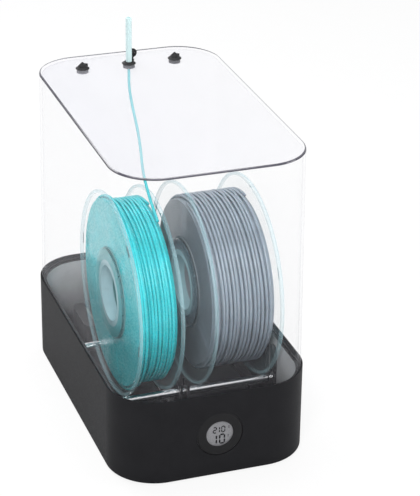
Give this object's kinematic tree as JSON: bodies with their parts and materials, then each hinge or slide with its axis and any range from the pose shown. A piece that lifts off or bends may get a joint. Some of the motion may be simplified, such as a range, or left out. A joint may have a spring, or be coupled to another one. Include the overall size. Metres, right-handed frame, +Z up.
{
  "type": "filament dry box",
  "caption": "Dry box for printing filament: clear lift-off cover on a black base, spools rolling on steel rods, desiccant cassettes, a round humidity meter and plugged roof ports.",
  "frame": {"origin": "on the floor under the middle of the base", "axes": "+X to the right seen from the meter's side, +Y to the back, +Z up"},
  "size_m": [0.19, 0.3172, 0.353],
  "materials": {
    "black_plastic": "fine satin texture",
    "grey_plastic": "satin",
    "plate_black": "satin",
    "bush_plastic": "smooth",
    "black_rubber": "matte",
    "screw_steel": "plain",
    "rod_steel": "ground and polished",
    "clear_flange": "clear",
    "teal_filament": "smooth",
    "grey_filament": "smooth",
    "cassette_plastic": "satin",
    "desiccant_beads": "loose beads",
    "meter_black": "smooth",
    "meter_glass": "clear",
    "display_grey": "liquid crystal display",
    "board_green": "circuit board",
    "cell_steel": "plain",
    "clear_cover": "clear",
    "pale_tube": "translucent"
  },
  "bodies": {
    "base": {"outer_shell": "black_plastic", "inner_tub": "grey_plastic", "rim_gasket": "black_rubber", "rubber_feet": "black_rubber", "tub_screws": "screw_steel", "left_rod_plate": "plate_black", "right_rod_plate": "plate_black", "centre_stand": "plate_black", "stand_screws": "screw_steel", "rod_bushes": "bush_plastic", "filament_strand": "teal_filament"},
    "left_spool": {"left_spool_outer_flange": "clear_flange", "left_spool_inner_flange": "clear_flange", "left_spool_hub": "clear_flange", "left_spool_core": "teal_filament", "left_spool_winding": "teal_filament"},
    "right_spool": {"right_spool_inner_flange": "clear_flange", "right_spool_outer_flange": "clear_flange", "right_spool_hub": "clear_flange", "right_spool_core": "grey_filament", "right_spool_winding": "grey_filament"},
    "front_left_roller": {"front_left_rod": "rod_steel"},
    "rear_left_roller": {"rear_left_rod": "rod_steel"},
    "front_right_roller": {"front_right_rod": "rod_steel"},
    "rear_right_roller": {"rear_right_rod": "rod_steel"},
    "front_cassette": {"front_cassette_tray": "cassette_plastic", "front_cassette_lid": "cassette_plastic", "front_desiccant": "desiccant_beads"},
    "rear_cassette": {"rear_cassette_tray": "cassette_plastic", "rear_cassette_lid": "cassette_plastic", "rear_desiccant": "desiccant_beads"},
    "meter": {"meter_case": "meter_black", "meter_bezel": "meter_black", "meter_lens": "meter_glass", "meter_display": "display_grey", "meter_board": "board_green", "meter_cells": "cell_steel", "meter_back": "meter_black"},
    "cover": {"cover_shell": "clear_cover", "left_port": "black_rubber", "centre_port": "black_rubber", "right_port": "black_rubber", "guide_tube": "pale_tube"},
    "left_stopper": {"left_plug": "black_rubber"},
    "centre_stopper": {"centre_plug": "black_rubber"},
    "right_stopper": {"right_plug": "black_rubber"}
  },
  "joints": [
    {"name": "left_spool_spin", "type": "hinge", "parent": "base", "child": "left_spool", "pos_m": [-0.03615, 0, 0.12135], "axis": [1, 0, 0], "continuous": true},
    {"name": "right_spool_spin", "type": "hinge", "parent": "base", "child": "right_spool", "pos_m": [0.04965, 0, 0.12135], "axis": [1, 0, 0], "continuous": true},
    {"name": "front_left_rod_spin", "type": "hinge", "parent": "base", "child": "front_left_roller", "pos_m": [-0.045, -0.057, 0.034], "axis": [1, 0, 0], "continuous": true},
    {"name": "rear_left_rod_spin", "type": "hinge", "parent": "base", "child": "rear_left_roller", "pos_m": [-0.045, 0.057, 0.034], "axis": [1, 0, 0], "continuous": true},
    {"name": "front_right_rod_spin", "type": "hinge", "parent": "base", "child": "front_right_roller", "pos_m": [0.043, -0.057, 0.034], "axis": [1, 0, 0], "continuous": true},
    {"name": "rear_right_rod_spin", "type": "hinge", "parent": "base", "child": "rear_right_roller", "pos_m": [0.043, 0.057, 0.034], "axis": [1, 0, 0], "continuous": true},
    {"name": "front_cassette_lift", "type": "slide", "parent": "base", "child": "front_cassette", "axis": [0, 0, 1], "range_m": [0, 0.02]},
    {"name": "rear_cassette_lift", "type": "slide", "parent": "base", "child": "rear_cassette", "axis": [0, 0, 1], "range_m": [0, 0.02]},
    {"name": "meter_pull", "type": "slide", "parent": "base", "child": "meter", "axis": [0, -1, 0], "range_m": [0, 0.02]},
    {"name": "cover_lift", "type": "slide", "parent": "base", "child": "cover", "axis": [0, 0, 1], "range_m": [0, 0.28]},
    {"name": "left_plug_bend", "type": "hinge", "parent": "cover", "child": "left_stopper", "pos_m": [-0.04276, 0.12374, 0.30875], "axis": [-0.7071, 0.7071, 0], "range_deg": [0, 120]},
    {"name": "centre_plug_bend", "type": "hinge", "parent": "cover", "child": "centre_stopper", "pos_m": [0.00424, 0.12374, 0.30875], "axis": [-0.7071, 0.7071, 0], "range_deg": [-8, 25]},
    {"name": "right_plug_bend", "type": "hinge", "parent": "cover", "child": "right_stopper", "pos_m": [0.05124, 0.12374, 0.30875], "axis": [-0.7071, 0.7071, 0], "range_deg": [0, 120]}
  ],
  "couplings": [
    {"joint": "front_left_rod_spin", "follows": "left_spool_spin", "ratio": -25},
    {"joint": "rear_left_rod_spin", "follows": "left_spool_spin", "ratio": -25},
    {"joint": "front_right_rod_spin", "follows": "right_spool_spin", "ratio": -25},
    {"joint": "rear_right_rod_spin", "follows": "right_spool_spin", "ratio": -25}
  ]
}
